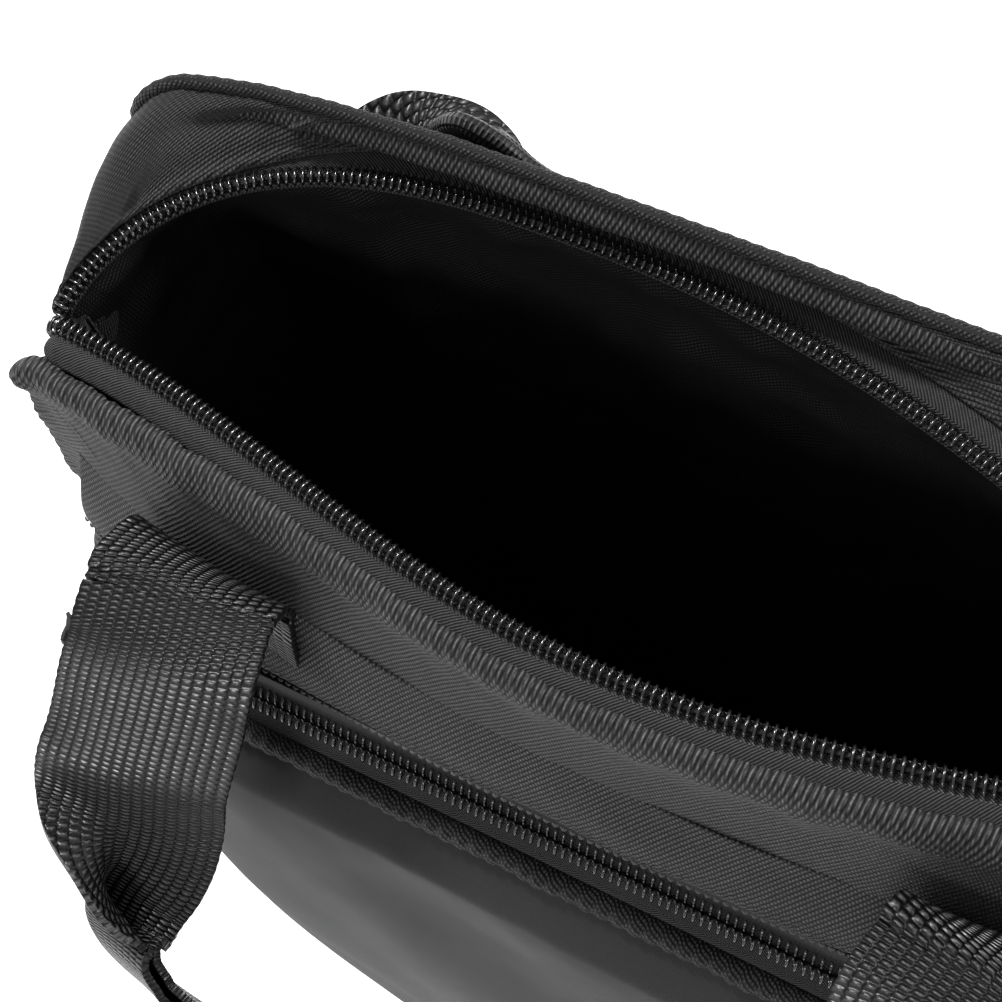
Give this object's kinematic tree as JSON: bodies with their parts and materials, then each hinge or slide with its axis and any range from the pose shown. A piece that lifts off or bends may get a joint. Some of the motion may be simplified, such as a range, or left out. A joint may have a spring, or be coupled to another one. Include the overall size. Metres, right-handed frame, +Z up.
{
  "type": "drum stick bag",
  "caption": "Tall padded fabric bag for drum sticks with an open two-coil zip mouth, a zipped front pocket and two webbing carry handles.",
  "frame": {"origin": "centre of the base panel's underside, on the surface that the bag stands on", "axes": "+Z up, +X to the right along the mouth, -Y out of the front, where the pocket is"},
  "size_m": [0.3168, 0.1909, 0.4584],
  "materials": {
    "shell": "ribbed charcoal polyester",
    "pocket": "fine smooth grey-black polyester",
    "lining": "thin black nylon",
    "foam": "grey padding foam",
    "board": "black plastic stiffener",
    "tape": "black herringbone zip tape",
    "coil": "glossy black nylon monofilament",
    "piping": "fabric-covered cord",
    "webbing": "coarse woven black polypropylene webbing",
    "slider": "black-lacquered die-cast metal"
  },
  "bodies": {
    "bag": {"base_board": "board", "base_panel": "shell", "end_gusset_left": "shell", "end_gusset_right": "shell", "front_corner_left": "shell", "front_corner_right": "shell", "front_foam_pad": "foam", "front_handle_end_left": "webbing", "front_handle_end_right": "webbing", "front_lining": "lining", "front_panel": "shell", "front_rolled_edge": "piping", "front_zip_coil": "coil", "front_zip_tape": "tape", "pocket_base_gusset": "pocket", "pocket_gusset_left": "pocket", "pocket_gusset_right": "pocket", "pocket_hem": "shell", "pocket_panel": "pocket", "pocket_rolled_edge": "piping", "pocket_zip_coil_lower": "coil", "pocket_zip_coil_upper": "coil", "pocket_zip_stop_left": "slider", "pocket_zip_stop_right": "slider", "pocket_zip_tape_lower": "tape", "pocket_zip_tape_upper": "tape", "rear_foam_pad": "foam", "rear_handle_end_left": "webbing", "rear_handle_end_right": "webbing", "rear_lining": "lining", "rear_mouth_gusset": "shell", "rear_panel": "shell", "rear_welt": "piping", "rear_zip_coil": "coil", "rear_zip_tape": "tape", "zip_end_stop_left": "slider", "zip_end_stop_right": "slider"},
    "front_handle": {"front_handle": "webbing"},
    "rear_handle": {"rear_handle": "webbing"},
    "main_slider": {"main_slider_body": "slider"},
    "main_pull": {"main_slider_pull": "slider"},
    "pocket_slider": {"pocket_slider_body": "slider"},
    "pocket_pull": {"pocket_slider_pull": "slider"}
  },
  "joints": [
    {"name": "front_handle_swing", "type": "hinge", "parent": "bag", "child": "front_handle", "pos_m": [0, -0.0606, 0.4278], "axis": [1, 0, 0], "range_deg": [-140, 0]},
    {"name": "rear_handle_swing", "type": "hinge", "parent": "bag", "child": "rear_handle", "pos_m": [0, 0.0612, 0.423], "axis": [1, 0, 0], "range_deg": [-160, 0]},
    {"name": "main_slider_travel", "type": "slide", "parent": "bag", "child": "main_slider", "axis": [0, 0, 1], "range_m": [0, 0.042]},
    {"name": "main_pull_swing", "type": "hinge", "parent": "main_slider", "child": "main_pull", "pos_m": [0.1553, -0.0125, 0.371], "axis": [0, -1, 0], "range_deg": [0, 170]},
    {"name": "pocket_slider_travel", "type": "slide", "parent": "bag", "child": "pocket_slider", "axis": [1, 0, 0], "range_m": [-0.235, 0]},
    {"name": "pocket_pull_swing", "type": "hinge", "parent": "pocket_slider", "child": "pocket_pull", "pos_m": [0.122, -0.06423, 0.37432], "axis": [0, 0.5549, 0.8319], "range_deg": [0, 170]}
  ]
}
